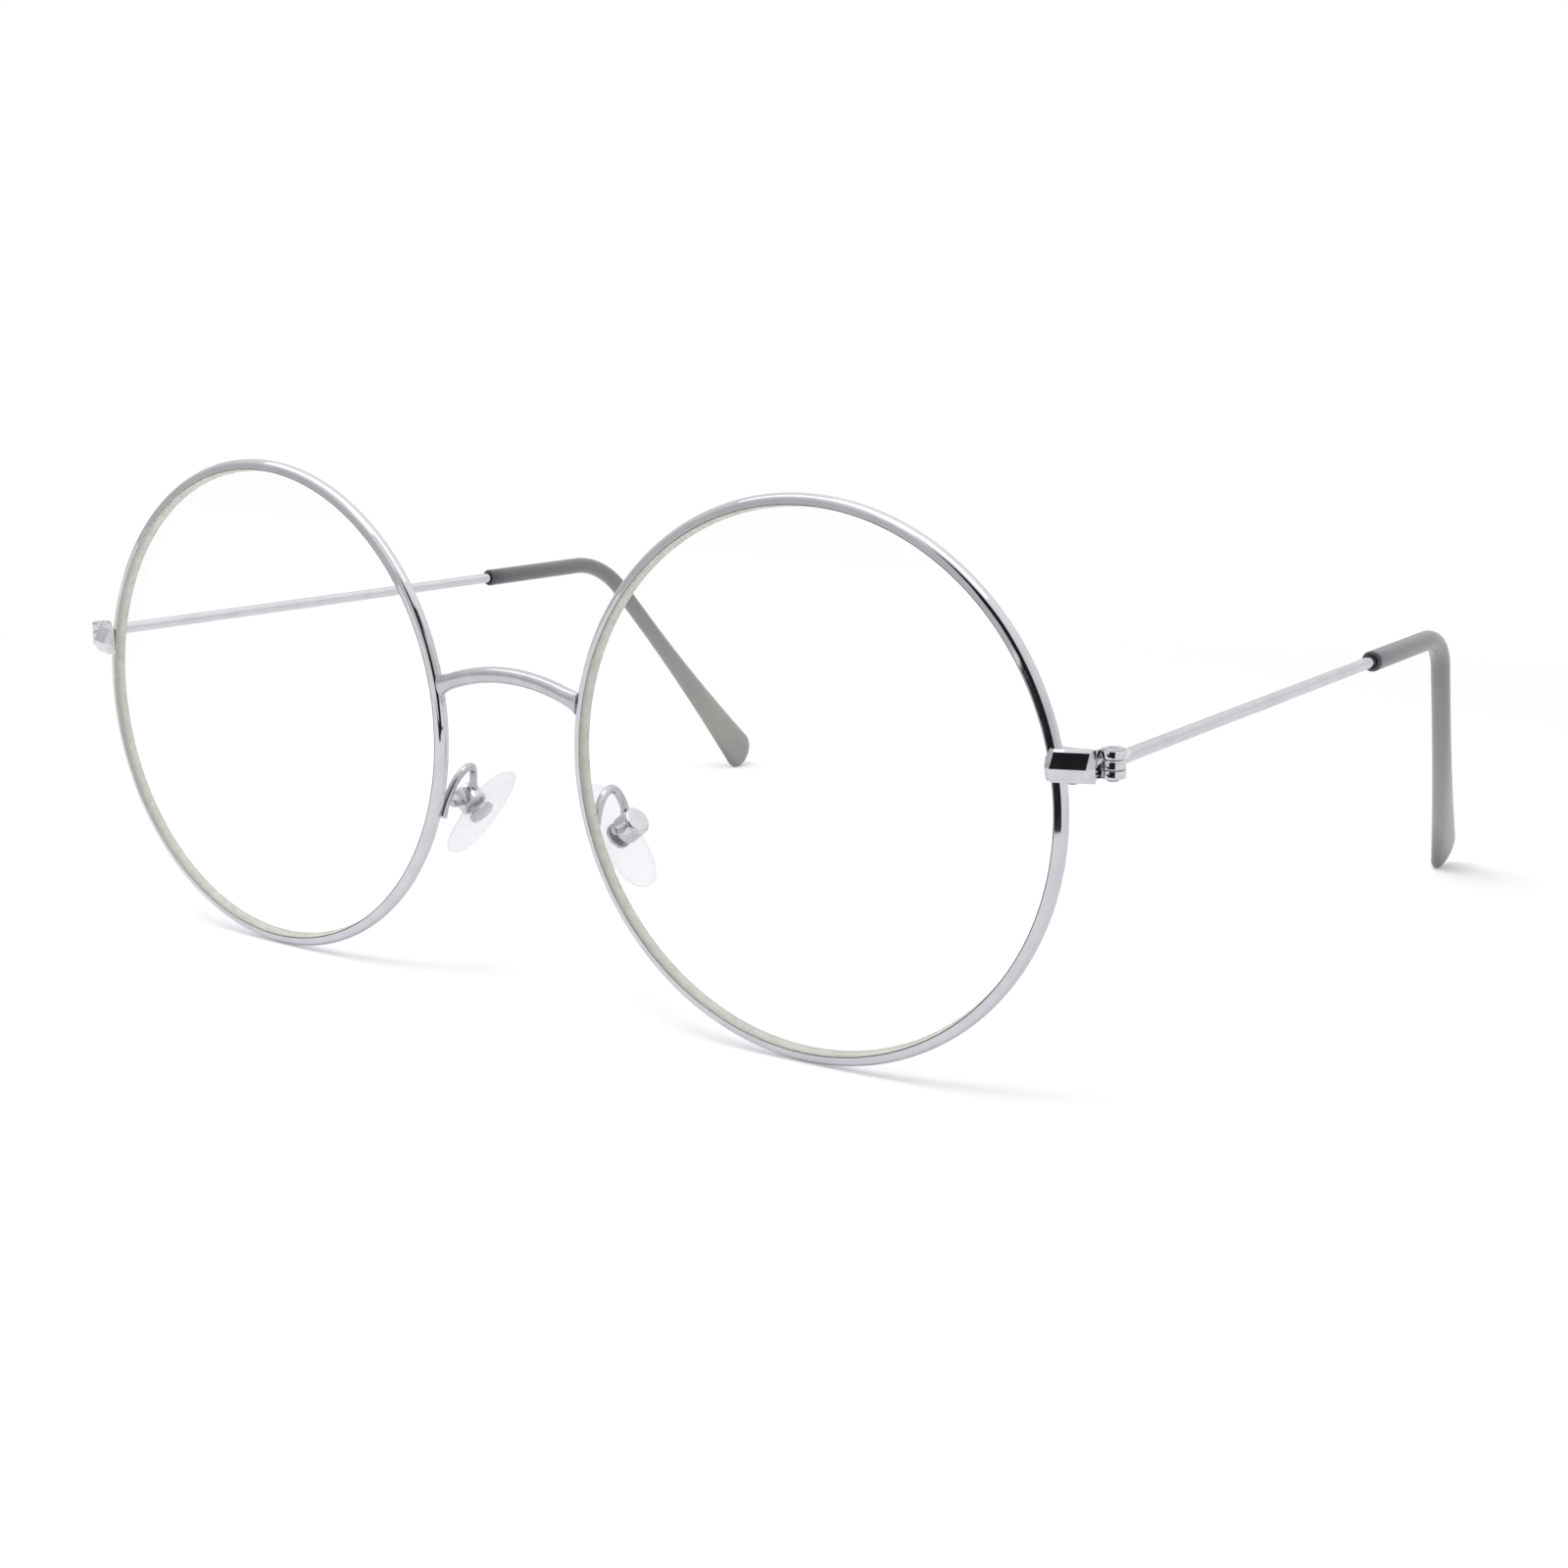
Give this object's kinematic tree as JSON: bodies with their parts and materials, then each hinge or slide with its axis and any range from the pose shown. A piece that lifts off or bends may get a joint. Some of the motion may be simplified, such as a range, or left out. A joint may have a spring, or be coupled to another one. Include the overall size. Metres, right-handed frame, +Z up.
{
  "type": "round wire eyeglasses",
  "caption": "Round wire eyeglasses with clear lenses, screwed rims, adjustable nose pads, and temples that fold on pin hinges and end in bent grey ear tips.",
  "frame": {"origin": "on the ground, in the middle of the outline seen from above, with the glasses standing open on both rims and both tips", "axes": "+X across the face to the wearer's left, +Y back along the temples, +Z up"},
  "size_m": [0.1452, 0.1303, 0.0584],
  "materials": {
    "bright_metal": "polished nickel-plated wire, bright silver",
    "screw_steel": "small machined steel screws with slotted heads",
    "lens_clear": "clear polished lens with a faint green edge",
    "pad_clear": "clear soft nose pad",
    "pad_insert": "grey metal insert moulded into the pad",
    "tip_grey": "smooth translucent grey sleeve"
  },
  "bodies": {
    "front": {"bridge": "bright_metal", "left_rim": "bright_metal", "right_rim": "bright_metal", "left_lens": "lens_clear", "right_lens": "lens_clear", "left_rim_lock_upper": "bright_metal", "right_rim_lock_upper": "bright_metal", "left_rim_lock_lower": "bright_metal", "right_rim_lock_lower": "bright_metal", "left_rim_lock_screw": "screw_steel", "right_rim_lock_screw": "screw_steel", "left_end_piece": "bright_metal", "right_end_piece": "bright_metal", "left_front_hinge": "bright_metal", "right_front_hinge": "bright_metal", "left_hinge_screw": "screw_steel", "right_hinge_screw": "screw_steel", "left_pad_arm": "bright_metal", "right_pad_arm": "bright_metal", "left_pad_box": "bright_metal", "right_pad_box": "bright_metal", "left_pad_screw": "screw_steel", "right_pad_screw": "screw_steel"},
    "temple_left": {"left_temple_hinge": "bright_metal", "left_temple_wire": "bright_metal", "left_temple_tip": "tip_grey"},
    "temple_right": {"right_temple_hinge": "bright_metal", "right_temple_wire": "bright_metal", "right_temple_tip": "tip_grey"},
    "nose_pad_left": {"left_nose_pad": "pad_clear", "left_pad_core": "pad_insert"},
    "nose_pad_right": {"right_nose_pad": "pad_clear", "right_pad_core": "pad_insert"}
  },
  "joints": [
    {"name": "left_temple_fold", "type": "hinge", "parent": "front", "child": "temple_left", "pos_m": [0.07145, -0.06049, 0.03478], "axis": [0, -0.0327, 0.9995], "range_deg": [0, 84.5]},
    {"name": "right_temple_fold", "type": "hinge", "parent": "front", "child": "temple_right", "pos_m": [-0.07145, -0.06049, 0.03478], "axis": [0, 0.0327, -0.9995], "range_deg": [0, 78]},
    {"name": "left_pad_rock", "type": "hinge", "parent": "front", "child": "nose_pad_left", "pos_m": [0.0118, -0.05742, 0.02038], "axis": [0, 0.9995, 0.0327], "range_deg": [-8, 8]},
    {"name": "right_pad_rock", "type": "hinge", "parent": "front", "child": "nose_pad_right", "pos_m": [-0.0118, -0.05742, 0.02038], "axis": [0, -0.9995, -0.0327], "range_deg": [-8, 8]}
  ]
}
